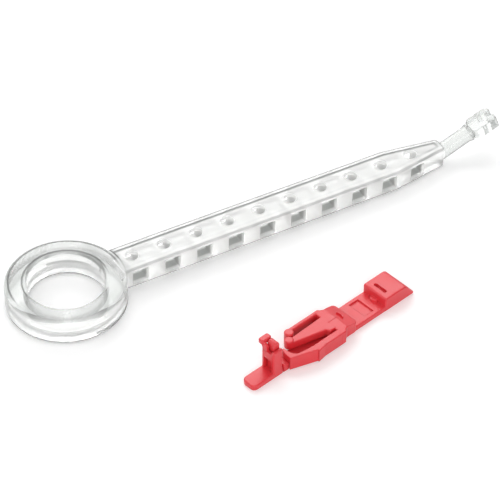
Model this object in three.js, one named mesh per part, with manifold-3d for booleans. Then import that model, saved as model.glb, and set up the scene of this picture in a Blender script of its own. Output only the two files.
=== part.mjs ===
// A finger tourniquet: a clear soft strap with a ring at one end, a ladder of windows along it and a
// pull tail at the other end, and beside it the hard red clip that holds the drawn strap.
// Millimetres, +Z up, +X along the strap from the ring to the tail, the floor at z = 0.
import * as THREE from "three";
import { mergeVertices } from "three/addons/utils/BufferGeometryUtils.js";
import Module from "manifold-3d";

// Clearances
const webSplit = 0.3; // between two stretches of one moulding that bend against each other
const runningGap = 0.3; // between a sliding piece and its channel
const overrun = 4; // how far each cut reaches past what it cuts
const mergeDistance = 1e-4; // points closer than this are one point

// Ring
const ringOutside = 30;
const ringBore = 19;
const ringHeight = 7.2;
const ringEdge = 1.2; // round on each rim

// Strap
const strapWidth = 9.5;
const strapDepth = 6;
const strapEdge = 0.9; // round along its edges
const strapCorner = 1.6; // round on the corners of its end
const strapLength = 107.5; // from the ring's centre to the end of the taper
const strapDroop = 1.1; // how far the soft strap sinks over its length, to lie on the floor
const taperLength = 15.5;
const taperEndWidth = 5;
const strapSkin = 1; // wall above and below each window
const windowCount = 10;
const windowShare = 0.4831; // of the pitch that each window takes
const windowStart = 18; // middle of the first window, from the ring's centre
const endLength = 9.4; // from the middle of the last window to the strap's end
const windowPitch = (strapLength - windowStart - endLength) / (windowCount - 1);
const windowLength = windowPitch * windowShare;
const holeBore = 3.2; // round hole in the top skin, over each window

// Pull tail
const stemDiameter = 4.1;
const stemLength = 9.2;
const stemRiseDegrees = 21;
const rootLength = 1.7; // from the strap's end to the middle of the stem's ball-shaped root
const collarDiameter = 4.7;
const collarLength = 1.3;
const gripLength = 7.4;
const gripWidth = 5.2;
const gripNeckWidth = 3.4;
const gripDepth = 3.6;
const gripEdge = 0.5;
const gripCorner = 1.5;
const forkWidth = 1.5;
const forkDepth = 1.9;
const eyeBore = 1.1;
const eyeSetback = 3.2; // from the grip's end

// Clip, along its own x axis from the tip of the draw bar to the end of the thumb block
const clipPlaceX = 24; // tip of the draw bar, from the ring's centre
const clipPlaceY = -47.25;
const clipTurnDegrees = 13.6;
const clipEdge = 0.3; // round on the moulded edges

// Draw bar, which slides under the lock plate
const barWidth = 4.3;
const barThickness = 1.6;
const barLength = 28.7;
const barCorner = 1.3;
const barTailWidth = 3.4; // behind its foot, where it runs in the channel

// Upright housing on the draw bar
const housingStart = 6.4;
const housingLength = 2.9;
const housingTop = 8.2; // of its near wall
const housingSill = 7.4; // of its front and far walls
const housingWall = 0.8;
const housingCorner = 0.5; // round on its upright corners
const tunnelWidth = 2.6; // channel through its lower half
const tunnelTop = 5.2;
const grooveWidth = 0.5; // upright grooves behind it, in both sides of the bar
const grooveDepth = 0.5;
const footLength = 2; // raised foot of the housing, behind the grooves
const footTop = 2.3;
const footEnd = housingStart + housingLength + grooveWidth + footLength;

// Tooth that stands in the housing
const toothLength = 1.8;
const toothTop = 10;

// Catch hook, a cross bar on a sprung neck over the housing
const hookTop = 10.1;
const hookThickness = 1.4;
const hookBarLength = 3;
const hookBarWidth = 1.7;
const hookOverhang = 0.3; // in front of the housing
const hookBarOffset = 2.25; // centre of the cross bar, off the clip's centre line
const hookNeckOffset = 0.3; // near side of the neck, off the clip's centre line
const hookNeckWidth = 1.3;

// Strip that carries the lock plate and the thumb block
const barEndRoom = 0.6; // between the draw bar's end and the strip
const stripStart = barLength + barEndRoom;
const stripWidth = 7.6;
const stripThickness = 1.6;

// Lock plate: its front straddles the draw bar and its rear lies on the strip
const plateTop = 4.1;
const plateUnderside = 0.2; // clear of the floor
const plateHalfWidth = 5.1;
const plateLap = 3.2; // over the draw bar's end
const plateFront = stripStart - plateLap;
const plateLength = 6.1;
const plateEnd = plateFront + plateLength;
const shoulderLength = 1.3; // at full width, before the plate draws in
const shoulderSlant = 1.6; // over which it draws in
const plateRearHalfWidth = 4.1;
const plateRearTop = 3.2; // its rear slopes down to this
const plateRearCorner = 0.9;

// The two sprung jaw arms
const farArmWidth = 1.1;
const farSlotWidth = 1.3;
const farKnuckleDiameter = 2.4;
const nearArmWidth = 2;
const nearSlotWidth = 0.7;
const armSpan = plateFront - footEnd;
const kneeShare = 0.44; // of that span, from the foot to where the near arm starts to draw in
const nearKnee = footEnd + kneeShare * armSpan;
const nearRibLength = 2.6; // small rib behind the knee
const nearRibHeight = 0.4;
const toeOverlap = 0.6; // over the foot of the housing
const nearTip = footEnd - toeOverlap;
const nearTipHalfWidth = 2.7;
const toeReach = 1; // its turned-in toe ends this far past the clip's centre line
const toeLean = 0.8;
const toeTipWidth = 0.6;
const toeRootLength = 3.4;

// Tongue between the arms
const tongueShare = 0.157; // of the arms' span, from the foot to the tongue's tip
const tongueTip = footEnd + tongueShare * armSpan;
const tongueKnuckleDiameter = 2.3;
const tongueKnuckleOffset = 1.95; // off the clip's centre line
const tongueNeckWidth = 0.7;
const tongueStepSetback = 1.9; // from the plate to where its near side steps in
const tongueStep = plateFront - tongueStepSetback;
const tongueStepDepth = 1;
const knuckleRise = 0.3; // knuckles stand proud of the plate
const knuckleStagger = 1.75; // the far arm's tip is this far behind the tongue's
const farTip = tongueTip + knuckleStagger;

// Bare pocket in the strip, and the wedge-shaped thumb block
const pocketSetback = 6.7; // from the strip's start
const pocketLength = 3;
const pocketWidth = 5.4;
const pocketDepth = 0.4;
const blockSetback = 12.6;
const blockStart = stripStart + blockSetback;
const blockWidth = 7.8;
const blockTopLength = 7.3;
const blockLength = 9.9;
const blockTop = 4.1;
const blockEdge = 0.6;
const blockLip = 1.3; // the wedge's thin end reaches this far past the strip
const thumbSlotSetback = 1.6;
const thumbSlotLength = 4;
const thumbSlotWidth = 0.9;
const thumbSlotDepth = 0.7;
const studDiameter = 2.2; // half-round stud at the foot of the thumb block
const studHeight = 0.8;

// Facets
const ringSteps = 72;
const roundSteps = 24;
const edgeSteps = 3;

const clear = new THREE.MeshStandardMaterial({ color: 0xd9e0dc, roughness: 0.2, metalness: 0 });
const red = new THREE.MeshStandardMaterial({ color: 0xd8202e, roughness: 0.38, metalness: 0 });

const wasm = await Module();
wasm.setup();

// A three.js geometry as a solid that can be cut and joined
function solid(geometry) {
  const bare = geometry.index ? geometry.toNonIndexed() : geometry.clone();
  bare.deleteAttribute("normal");
  bare.deleteAttribute("uv");
  const merged = mergeVertices(bare, mergeDistance);
  const corners = merged.index.array;
  const kept = [];
  for (let at = 0; at < corners.length; at += 3) {
    const [a, b, c] = corners.slice(at, at + 3);
    if (a !== b && b !== c && c !== a) kept.push(a, b, c);
  }
  return new wasm.Manifold(
    new wasm.Mesh({
      numProp: 3,
      vertProperties: merged.attributes.position.array,
      triVerts: new Uint32Array(kept),
    }),
  );
}

// A solid as a named mesh of the model
function piece(name, made, material) {
  const mesh = made.getMesh();
  const geometry = new THREE.BufferGeometry();
  geometry.setAttribute("position", new THREE.BufferAttribute(mesh.vertProperties, 3));
  geometry.setIndex(new THREE.BufferAttribute(mesh.triVerts, 1));
  geometry.computeVertexNormals();
  const result = new THREE.Mesh(geometry, material);
  result.name = name;
  return result;
}

// A box between two corners
function block(x0, x1, y0, y1, z0, z1) {
  const geometry = new THREE.BoxGeometry(x1 - x0, y1 - y0, z1 - z0);
  geometry.translate((x0 + x1) / 2, (y0 + y1) / 2, (z0 + z1) / 2);
  return solid(geometry);
}

// A plan outline raised from z0 to z1, its top and bottom edges rounded
function raised(shape, z0, z1, edge = 0, steps = edgeSteps) {
  const geometry = new THREE.ExtrudeGeometry(shape, {
    depth: z1 - z0 - 2 * edge,
    bevelEnabled: edge > 0,
    bevelThickness: edge,
    bevelSize: edge,
    bevelOffset: -edge,
    bevelSegments: steps,
    curveSegments: roundSteps / 4,
  });
  geometry.translate(0, 0, z0 + edge);
  return solid(geometry);
}

// An upright cylinder
function post(x, y, diameter, z0, z1, steps = roundSteps) {
  const geometry = new THREE.CylinderGeometry(diameter / 2, diameter / 2, z1 - z0, steps);
  geometry.rotateX(Math.PI / 2);
  geometry.translate(x, y, (z0 + z1) / 2);
  return solid(geometry);
}

// A closed outline through points, straight from one to the next
function outline(points) {
  return new THREE.Shape(points.map(([x, y]) => new THREE.Vector2(x, y)));
}

// A rectangle in plan with its corners rounded
function roundedPlan(x0, x1, halfWidth, corner) {
  const shape = new THREE.Shape();
  shape.moveTo(x0 + corner, -halfWidth);
  shape.lineTo(x1 - corner, -halfWidth);
  shape.absarc(x1 - corner, -halfWidth + corner, corner, -Math.PI / 2, 0);
  shape.lineTo(x1, halfWidth - corner);
  shape.absarc(x1 - corner, halfWidth - corner, corner, 0, Math.PI / 2);
  shape.lineTo(x0 + corner, halfWidth);
  shape.absarc(x0 + corner, halfWidth - corner, corner, Math.PI / 2, Math.PI);
  shape.lineTo(x0, -halfWidth + corner);
  shape.absarc(x0 + corner, -halfWidth + corner, corner, Math.PI, 1.5 * Math.PI);
  return shape;
}

// The whole strap lies in its own frame: x from the ring's centre, z = 0 on its top face
const droop = new THREE.Matrix4().makeRotationY(Math.atan2(strapDroop, strapLength - ringOutside / 2));
const strapFrame = new THREE.Matrix4()
  .makeTranslation(ringOutside / 2, 0, ringHeight)
  .multiply(droop)
  .multiply(new THREE.Matrix4().makeTranslation(-ringOutside / 2, 0, 0));

const windowPlace = (index) => windowStart + index * windowPitch;

// The strap as it is moulded, with its windows and holes, before it is parted at its flexing webs
function strapMoulding() {
  const half = strapWidth / 2;
  const endHalf = taperEndWidth / 2;
  const rootX = ringBore / 2 + ringEdge;
  const taperStart = strapLength - taperLength;
  const shape = new THREE.Shape();
  shape.moveTo(rootX, -half);
  shape.lineTo(taperStart, -half);
  shape.lineTo(strapLength - strapCorner, -endHalf);
  shape.quadraticCurveTo(strapLength, -endHalf, strapLength, -endHalf + strapCorner);
  shape.lineTo(strapLength, endHalf - strapCorner);
  shape.quadraticCurveTo(strapLength, endHalf, strapLength - strapCorner, endHalf);
  shape.lineTo(taperStart, half);
  shape.lineTo(rootX, half);
  let strap = raised(shape, -strapDepth, 0, strapEdge);
  for (let index = 0; index < windowCount; index += 1) {
    const x = windowPlace(index);
    const halfWindow = windowLength / 2;
    const reach = half + overrun;
    strap = strap
      .subtract(block(x - halfWindow, x + halfWindow, -reach, reach, strapSkin - strapDepth, -strapSkin))
      .subtract(post(x, 0, holeBore, -strapDepth / 2, overrun));
  }
  return strap;
}

// One stretch of the strap, between two flexing webs
function stretch(strap, from, to) {
  const reach = strapWidth / 2 + overrun;
  return strap.intersect(block(from, to, -reach, reach, -strapDepth - overrun, overrun));
}

function placed(made, matrix) {
  return made.transform(matrix.elements);
}

// Ring with rounded rims, joined to the root of the strap
function fingerRing(strap) {
  const inner = ringBore / 2;
  const outer = ringOutside / 2;
  const corners = [
    [outer - ringEdge, ringEdge, -Math.PI / 2],
    [outer - ringEdge, ringHeight - ringEdge, 0],
    [inner + ringEdge, ringHeight - ringEdge, Math.PI / 2],
    [inner + ringEdge, ringEdge, Math.PI],
  ];
  const profile = [];
  for (const [x, y, start] of corners) {
    for (let step = 0; step <= edgeSteps; step += 1) {
      const angle = start + (step / edgeSteps) * (Math.PI / 2);
      profile.push(new THREE.Vector2(x + ringEdge * Math.cos(angle), y + ringEdge * Math.sin(angle)));
    }
  }
  profile.push(profile[0].clone());
  const turned = new THREE.LatheGeometry(profile, ringSteps);
  turned.rotateX(Math.PI / 2);
  const root = stretch(strap, inner, windowPlace(0) - webSplit / 2);
  const bore = post(0, 0, ringBore + ringEdge, -overrun, ringHeight + overrun, ringSteps);
  return solid(turned).add(placed(root, strapFrame).subtract(bore));
}

// Pull tail: it rises from the strap's end, in a frame whose x axis runs along the stem
const stemRise = (stemRiseDegrees * Math.PI) / 180;
const stemFrame = new THREE.Matrix4()
  .makeTranslation(strapLength, 0, -strapDepth / 2)
  .multiply(new THREE.Matrix4().makeRotationY(-stemRise));

// A ball on the stem's axis, round the place where the stem bends
function rootBall(diameter) {
  const geometry = new THREE.SphereGeometry(diameter / 2, roundSteps, roundSteps / 2);
  geometry.translate(rootLength, 0, 0);
  return solid(geometry);
}

function pullStem() {
  const radius = stemDiameter / 2;
  const profile = [
    new THREE.Vector2(0, rootLength),
    new THREE.Vector2(radius, rootLength),
    new THREE.Vector2(radius, stemLength - collarLength),
    new THREE.Vector2(collarDiameter / 2, stemLength),
    new THREE.Vector2(0, stemLength),
  ];
  const turned = new THREE.LatheGeometry(profile, roundSteps);
  turned.rotateZ(-Math.PI / 2);
  return solid(turned).add(rootBall(stemDiameter));
}

function pullGrip() {
  const start = stemLength + webSplit;
  const end = stemLength + gripLength;
  const neck = gripNeckWidth / 2;
  const half = gripWidth / 2;
  const shape = outline([
    [start, -neck],
    [start + (half - neck), -half],
    [end - gripEdge, -half],
    [end, -half + gripEdge],
    [end, -forkWidth / 2],
    [end - forkDepth, 0],
    [end, forkWidth / 2],
    [end - gripEdge, half - gripEdge],
    [end - gripCorner, half],
    [start + (half - neck), half],
    [start, neck],
  ]);
  const eye = post(end - eyeSetback, half / 2, eyeBore, -gripDepth, gripDepth, roundSteps / 2);
  return raised(shape, -gripDepth / 2, gripDepth / 2, gripEdge, 2).subtract(eye);
}

// Draw bar with the upright housing that the strap's tail is led through
function drawBar() {
  const half = barWidth / 2;
  const inside = half - housingWall;
  const housingEnd = housingStart + housingLength;
  const footStart = housingEnd + grooveWidth;
  const bar = raised(roundedPlan(0, footEnd, half, barCorner), 0, barThickness, clipEdge, 2);
  const foot = raised(roundedPlan(footStart, footEnd, half, housingCorner), 0, footTop, clipEdge, 2);
  const tailPlan = roundedPlan(footStart, barLength, barTailWidth / 2, housingCorner);
  const tail = raised(tailPlan, 0, barThickness, clipEdge, 2);
  const towerPlan = roundedPlan(housingStart, housingEnd, half, housingCorner);
  const tower = raised(towerPlan, barThickness / 2, housingTop, clipEdge, 2);
  let made = bar.add(foot).add(tail).add(tower);
  const wellStart = housingStart + housingWall;
  const reach = half + overrun;
  const top = housingTop + overrun;
  const cuts = [
    [wellStart, footStart, -inside, inside, barThickness, top],
    [housingStart - overrun, footStart, -tunnelWidth / 2, tunnelWidth / 2, barThickness, tunnelTop],
    [housingStart - overrun, footStart, -inside, reach, housingSill, top],
    [housingEnd, footStart, half - grooveDepth, reach, -overrun, top],
    [housingEnd, footStart, -reach, grooveDepth - half, -overrun, top],
  ];
  for (const cut of cuts) made = made.subtract(block(...cut));
  return made;
}

// Tooth with a rounded head, seated in the well of the housing
function lockTooth() {
  const start = housingStart + housingWall + runningGap;
  const width = barWidth - 2 * (housingWall + runningGap);
  const head = toothLength / 2;
  const shape = new THREE.Shape();
  shape.moveTo(start, barThickness + runningGap);
  shape.lineTo(start + toothLength, barThickness + runningGap);
  shape.lineTo(start + toothLength, toothTop - head);
  shape.absarc(start + head, toothTop - head, head, 0, Math.PI);
  const geometry = new THREE.ExtrudeGeometry(shape, {
    depth: width,
    bevelEnabled: false,
    curveSegments: roundSteps / 2,
  });
  geometry.rotateX(Math.PI / 2);
  geometry.translate(0, width / 2, 0);
  return solid(geometry);
}

// Catch hook: a neck that rises from the housing's front wall and a cross bar on it
function catchHook() {
  const under = hookTop - hookThickness;
  const from = housingStart - hookOverhang;
  const barHalf = hookBarWidth / 2;
  const cross = roundedPlan(from, from + hookBarLength, barHalf, barHalf / 2);
  const aside = new THREE.Matrix4().makeTranslation(0, hookBarOffset, 0);
  const bar = placed(raised(cross, under, hookTop, clipEdge, 2), aside);
  const foot = housingSill + webSplit;
  const neck = outline([
    [hookNeckOffset, foot],
    [hookNeckOffset + hookNeckWidth, foot],
    [hookBarOffset, under],
    [hookBarOffset, hookTop - clipEdge],
    [hookNeckOffset + hookNeckWidth, hookTop - clipEdge],
    [hookNeckOffset, under],
  ]);
  const geometry = new THREE.ExtrudeGeometry(neck, { depth: housingWall, bevelEnabled: false });
  geometry.rotateX(Math.PI / 2);
  geometry.rotateZ(Math.PI / 2);
  geometry.translate(housingStart, 0, 0);
  return bar.add(solid(geometry));
}

// The channel that the draw bar runs in, under the lock plate and the arms
function barChannel(width, top) {
  const half = width / 2 + runningGap;
  return block(-overrun, stripStart, -half, half, -overrun, top + runningGap);
}

// Lock plate: full width where the arms spring from it, drawn in behind, sloping down at its rear
function lockPlate() {
  const waistStart = plateFront + shoulderLength;
  const waistEnd = waistStart + shoulderSlant;
  const rear = plateRearHalfWidth;
  const corner = plateRearCorner;
  const shape = new THREE.Shape();
  shape.moveTo(plateFront, -plateHalfWidth);
  shape.lineTo(waistStart, -plateHalfWidth);
  shape.quadraticCurveTo((waistStart + waistEnd) / 2, -rear, waistEnd, -rear);
  shape.lineTo(plateEnd - corner, -rear);
  shape.absarc(plateEnd - corner, -rear + corner, corner, -Math.PI / 2, 0);
  shape.lineTo(plateEnd, rear - corner);
  shape.absarc(plateEnd - corner, rear - corner, corner, 0, Math.PI / 2);
  shape.lineTo(waistEnd, rear);
  shape.quadraticCurveTo((waistStart + waistEnd) / 2, rear, waistStart, plateHalfWidth);
  shape.lineTo(plateFront, plateHalfWidth);
  const wide = plateHalfWidth + overrun;
  const strip = block(
    stripStart - webSplit, plateEnd + overrun, -wide, wide, -overrun, stripThickness + webSplit,
  );
  const slope = new THREE.ExtrudeGeometry(
    outline([
      [waistEnd, plateTop],
      [plateEnd, plateRearTop],
      [plateEnd + overrun, plateRearTop],
      [plateEnd + overrun, plateTop + overrun],
      [waistEnd, plateTop + overrun],
    ]),
    { depth: 2 * wide, bevelEnabled: false },
  );
  slope.rotateX(Math.PI / 2);
  slope.translate(0, wide, 0);
  return raised(shape, plateUnderside, plateTop, clipEdge, 2)
    .subtract(strip)
    .subtract(barChannel(barTailWidth, barThickness))
    .subtract(solid(slope));
}

// A round knuckle that stands proud of the plate
function knuckle(x, y, diameter, under) {
  const shape = new THREE.Shape();
  shape.absarc(x, y, diameter / 2, 0, 2 * Math.PI);
  return raised(shape, under, plateTop + knuckleRise, clipEdge, 2);
}

function farJawArm() {
  const radius = farKnuckleDiameter / 2;
  const outer = plateHalfWidth;
  const inner = outer - farArmWidth;
  const root = plateFront - webSplit;
  const shape = outline([
    [root, outer],
    [farTip + radius, outer],
    [farTip + radius, inner],
    [root, inner],
  ]);
  return raised(shape, plateUnderside, plateTop, clipEdge, 2).add(
    knuckle(farTip + radius, outer - radius, farKnuckleDiameter, plateUnderside),
  );
}

// The near arm draws in past its knee, and its toe turns in over the draw bar
function nearJawArm() {
  const outer = -plateHalfWidth;
  const inner = outer + nearArmWidth;
  const root = plateFront - webSplit;
  const toeRoot = nearTip + toeRootLength;
  const tip = nearTip + toeLean;
  const shape = new THREE.Shape();
  shape.moveTo(root, outer);
  shape.lineTo(nearKnee + nearRibLength, outer);
  shape.lineTo(nearKnee, outer - nearRibHeight);
  shape.lineTo(nearKnee, outer);
  shape.lineTo(nearTip, -nearTipHalfWidth);
  shape.quadraticCurveTo(nearTip, 0, tip, toeReach);
  shape.lineTo(tip + toeTipWidth, toeReach);
  shape.quadraticCurveTo(tip + toeTipWidth, inner + nearRibHeight, toeRoot, inner + nearRibHeight);
  shape.lineTo(nearKnee, inner);
  shape.lineTo(root, inner);
  return raised(shape, plateUnderside, plateTop, clipEdge, 2).subtract(barChannel(barWidth, footTop));
}

// The tongue widens from its knuckle to its root, with a step at the near slot's end
function lockTongue() {
  const far = plateHalfWidth - farArmWidth - farSlotWidth;
  const near = -(plateHalfWidth - nearArmWidth - nearSlotWidth);
  const radius = tongueKnuckleDiameter / 2;
  const root = plateFront - webSplit;
  const under = barThickness + runningGap;
  const shape = outline([
    [root, far],
    [tongueTip + radius, tongueKnuckleOffset + tongueNeckWidth / 2],
    [tongueTip + radius, tongueKnuckleOffset - radius],
    [tongueStep, near + tongueStepDepth],
    [tongueStep + tongueStepDepth / 2, near],
    [root, near],
  ]);
  return raised(shape, under, plateTop, clipEdge, 2).add(
    knuckle(tongueTip + radius, tongueKnuckleOffset, tongueKnuckleDiameter, under),
  );
}

// Strip with its bare pocket, and the wedge-shaped thumb block
function clipFrame() {
  const blockEnd = blockStart + blockLength;
  const stripPlan = roundedPlan(stripStart, blockEnd - blockLip, stripWidth / 2, blockEdge);
  const strip = raised(stripPlan, 0, stripThickness, clipEdge, 2);
  const wedge = outline([
    [blockStart, 0],
    [blockEnd, 0],
    [blockStart + blockTopLength, blockTop],
    [blockStart, blockTop],
  ]);
  const depth = blockWidth - 2 * blockEdge;
  const geometry = new THREE.ExtrudeGeometry(wedge, {
    depth,
    bevelThickness: blockEdge,
    bevelSize: blockEdge,
    bevelOffset: -blockEdge,
    bevelSegments: 2,
  });
  geometry.rotateX(Math.PI / 2);
  geometry.translate(0, depth / 2, 0);
  const thumbSlot = raised(
    roundedPlan(0, thumbSlotLength, thumbSlotWidth / 2, thumbSlotWidth / 3),
    blockTop - thumbSlotDepth, blockTop + overrun,
  );
  const across = new THREE.Matrix4()
    .makeTranslation(blockStart + thumbSlotSetback, thumbSlotLength / 2, 0)
    .multiply(new THREE.Matrix4().makeRotationZ(-Math.PI / 2));
  const pocketStart = stripStart + pocketSetback;
  const pocket = block(
    pocketStart, pocketStart + pocketLength, -pocketWidth / 2, pocketWidth / 2,
    stripThickness - pocketDepth, stripThickness + overrun,
  );
  const stud = post(blockStart, 0, studDiameter, stripThickness / 2, stripThickness + studHeight);
  return strip.add(solid(geometry)).add(stud).subtract(placed(thumbSlot, across)).subtract(pocket);
}

function strapAssembly() {
  const group = new THREE.Group();
  const strap = strapMoulding();
  const cup = placed(rootBall(stemDiameter + 2 * webSplit), stemFrame);
  group.add(piece("finger_ring", fingerRing(strap), clear));
  for (let index = 0; index < windowCount; index += 1) {
    const last = index === windowCount - 1;
    const from = windowPlace(index) + webSplit / 2;
    const to = last ? strapLength : windowPlace(index + 1) - webSplit / 2;
    const name = last ? "strap_end" : `strap_link_${String(index + 1).padStart(2, "0")}`;
    const link = last ? stretch(strap, from, to).subtract(cup) : stretch(strap, from, to);
    group.add(piece(name, placed(link, strapFrame), clear));
  }
  const tailFrame = strapFrame.clone().multiply(stemFrame);
  group.add(piece("pull_stem", placed(pullStem(), tailFrame), clear));
  group.add(piece("pull_grip", placed(pullGrip(), tailFrame), clear));
  return group;
}

function clipAssembly() {
  const group = new THREE.Group();
  group.add(piece("clip_frame", clipFrame(), red));
  group.add(piece("lock_plate", lockPlate(), red));
  group.add(piece("far_jaw_arm", farJawArm(), red));
  group.add(piece("near_jaw_arm", nearJawArm(), red));
  group.add(piece("lock_tongue", lockTongue(), red));
  group.add(piece("draw_bar", drawBar(), red));
  group.add(piece("lock_tooth", lockTooth(), red));
  group.add(piece("catch_hook", catchHook(), red));
  group.position.set(clipPlaceX, clipPlaceY, 0);
  group.rotation.z = (clipTurnDegrees * Math.PI) / 180;
  return group;
}

// Both lie with the origin under the middle of the whole set
const set = new THREE.Group();
set.add(strapAssembly(), clipAssembly());
const extent = new THREE.Box3().setFromObject(set, true);
const middle = extent.getCenter(new THREE.Vector3());
set.position.set(-middle.x, -middle.y, -extent.min.z);

const tourniquet = new THREE.Group();
tourniquet.add(set);

export default tourniquet;
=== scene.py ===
# A finger tourniquet: a clear soft strap with a ring and a pull tail, and its separate hard red clip
import math

import bmesh
import bpy
from mathutils import Matrix, Vector


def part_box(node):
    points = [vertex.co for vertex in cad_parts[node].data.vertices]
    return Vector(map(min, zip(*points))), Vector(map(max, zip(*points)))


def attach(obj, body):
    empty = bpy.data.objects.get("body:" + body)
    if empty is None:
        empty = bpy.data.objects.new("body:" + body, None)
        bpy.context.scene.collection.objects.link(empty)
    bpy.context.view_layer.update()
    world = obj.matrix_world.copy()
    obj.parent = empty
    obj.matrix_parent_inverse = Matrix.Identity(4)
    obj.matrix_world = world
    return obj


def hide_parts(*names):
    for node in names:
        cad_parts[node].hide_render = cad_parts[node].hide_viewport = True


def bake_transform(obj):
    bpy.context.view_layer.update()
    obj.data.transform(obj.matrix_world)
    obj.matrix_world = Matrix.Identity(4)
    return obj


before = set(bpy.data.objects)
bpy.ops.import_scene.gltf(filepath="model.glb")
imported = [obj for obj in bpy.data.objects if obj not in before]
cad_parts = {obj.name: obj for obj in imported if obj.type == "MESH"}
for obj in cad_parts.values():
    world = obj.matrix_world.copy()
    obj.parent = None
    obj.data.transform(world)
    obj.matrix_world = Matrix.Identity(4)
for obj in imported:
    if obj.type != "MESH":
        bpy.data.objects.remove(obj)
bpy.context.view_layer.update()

# Lengths below are in millimetres and angles in degrees; the scene is in metres
MM = 0.001
OVERRUN = 4.0  # how far a cutting shape reaches past what it cuts
FINE_EDGE = 0.3
SAME_POINT = 1e-4
REPEATED_POINT = 1e-5
SHARPEST_CORNER = 0.2  # keeps the offset of a very sharp corner short

# Ring
RING_OUTSIDE = 30.0
RING_BORE = 19.0
RING_HEIGHT = 7.2
RING_EDGE = 1.2

# Strap, along its own x axis from the ring's centre, z = 0 on its top face
STRAP_WIDTH = 9.5
STRAP_DEPTH = 6.0
STRAP_EDGE = 0.8
STRAP_CORNER = 1.6
STRAP_LENGTH = 107.5
STRAP_DROOP = 1.1
STRAP_ROOT = 3.2
TAPER_START = 92.0
TAPER_END_WIDTH = 5.0
STRAP_SKIN = 1.0
WINDOW_COUNT = 10
WINDOW_PITCH = 8.9
WINDOW_LENGTH = 4.3
WINDOW_ROUND = 0.35
FIRST_WINDOW = 18.0
HOLE_BORE = 3.2
HOLE_LIP = 0.3
END_CUT = 103.0
BEND_LINES = 9

# Which faces of the strap get the frosted material with painted light and shade, by their place and by the
# cosine of their slope
WINDOW_FLOOR_MARGIN = 0.2
HOLE_MARGIN = 0.1
LEVEL_COSINE = 0.9
FACING_COSINE = 0.7

# Pull tail, along its stem
STEM_DIAMETER = 4.1
STEM_LENGTH = 9.2
STEM_RISE = 21.0
STEM_ROOT = 1.2
COLLAR_DIAMETER = 4.7
COLLAR_LENGTH = 1.3
COLLAR_LIP = 0.18
SPIGOT_DIAMETER = 2.7
SPIGOT_LENGTH = 1.0
GRIP_GAP = 0.35
GRIP_LENGTH = 7.4
GRIP_WIDTH = 5.2
GRIP_NECK_WIDTH = 3.4
GRIP_DEPTH = 3.6
GRIP_EDGE = 0.5
GRIP_CORNER = 1.5
FORK_WIDTH = 1.5
FORK_DEPTH = 1.9
FORK_TIP = 0.3
EYE_BORE = 1.1
EYE_SETBACK = 3.2

# Clip, along its own x axis from the tip of the draw bar
CLIP_PLACE = (24.0, -47.25)
CLIP_TURN = 13.6
CLIP_EDGE = 0.35

# Draw bar with its housing and foot
BAR_WIDTH = 4.3
BAR_THICKNESS = 1.6
BAR_LENGTH = 28.7
BAR_CORNER = 1.3
BAR_TAIL_WIDTH = 3.4
BAR_CLEARANCE = 0.3
HOUSING_START = 6.4
HOUSING_END = 9.3
HOUSING_TOP = 8.2
HOUSING_SILL = 7.4
HOUSING_WALL = 0.8
TUNNEL_WIDTH = 2.6
TUNNEL_TOP = 5.2
GROOVE_WIDTH = 0.5
GROOVE_DEPTH = 0.5
FOOT_END = 11.8
FOOT_TOP = 2.3
FOOT_CORNER = 0.5

# Tooth and hook over the housing
TOOTH_LENGTH = 1.8
TOOTH_TOP = 10.0
TOOTH_GAP = 0.15
TOOTH_SIDE_GAP = 0.12
TOOTH_SINK = 0.1
TOOTH_EDGE = 0.25
HOOK_TOP = 10.1
HOOK_THICKNESS = 1.4
HOOK_OVERHANG = 0.3
HOOK_BAR_LENGTH = 3.0
HOOK_BAR_WIDTH = 1.7
HOOK_BAR_OFFSET = 2.25
HOOK_NECK_OFFSET = 0.3
HOOK_NECK_WIDTH = 1.3
HOOK_NECK_SINK = 0.4
HOOK_NECK_DROP = 0.3
HOOK_NECK_EDGE = 0.12
HOOK_ROUND_SHARE = 0.6

# Strip and lock plate
STRIP_START = 29.3
STRIP_WIDTH = 7.6
STRIP_THICKNESS = 1.6
STRIP_CORNER = 0.6
PLATE_TOP = 4.1
PLATE_UNDER = 0.2
PLATE_HALF = 5.1
PLATE_FRONT = 26.1
PLATE_END = 32.2
WAIST_START = 27.4
WAIST_END = 29.0
PLATE_REAR_HALF = 4.1
PLATE_REAR_TOP = 3.2
PLATE_REAR_CORNER = 0.9
SLOPE_LEAD = 0.6
SLOPE_LEAD_RISE = 0.05

# Jaw arms
FAR_ARM_WIDTH = 1.1
FAR_SLOT_WIDTH = 1.3
FAR_KNUCKLE = 2.4
FAR_TIP = 15.8
NEAR_ARM_WIDTH = 2.0
NEAR_SLOT_WIDTH = 0.7
NEAR_KNEE = 18.1
NEAR_TIP = 11.2
NEAR_TIP_HALF = 2.7
RIB_LENGTH = 2.6
RIB_HEIGHT = 0.4
RIB_BEND_LENGTH = 0.6
RIB_BEND_HEIGHT = 0.3
TOE_REACH = 1.0
TOE_LEAN = 0.8
TOE_TIP_WIDTH = 0.6
TOE_ROOT_LENGTH = 3.4

# Tongue, and the rise of its knuckle and of the far arm's
TONGUE_TIP = 14.05
TONGUE_KNUCKLE = 2.3
TONGUE_OFFSET = 1.95
TONGUE_NECK = 0.7
TONGUE_STEP = 24.2
TONGUE_STEP_DEPTH = 1.0
KNUCKLE_RISE = 0.3

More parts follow.
